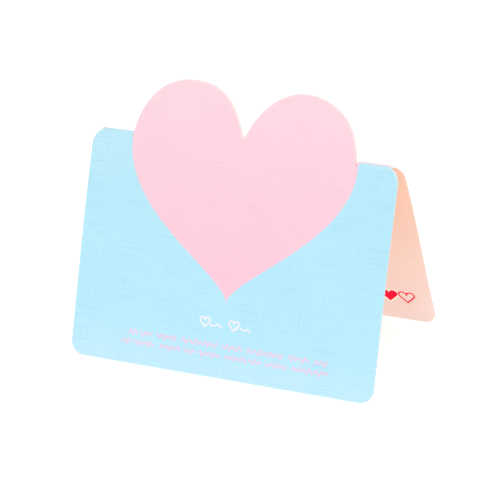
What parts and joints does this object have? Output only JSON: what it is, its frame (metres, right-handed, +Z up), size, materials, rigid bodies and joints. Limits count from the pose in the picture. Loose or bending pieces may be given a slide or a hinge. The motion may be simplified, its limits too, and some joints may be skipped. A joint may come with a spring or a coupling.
{
  "type": "greeting card",
  "caption": "Folded tent-style greeting card whose heart cut-out rises above the fold and leaves a matching window in the back panel.",
  "frame": {"origin": "on the table, under the middle of the fold, halfway between the two foot edges", "axes": "+X along the fold, to the right as one looks at the front panel; the front panel faces -Y; +Z up from the table to the tops of the heart's lobes"},
  "size_m": [0.105, 0.0582, 0.0862],
  "materials": {
    "card": "matte"
  },
  "bodies": {
    "root": {"card": "card"}
  },
  "joints": []
}
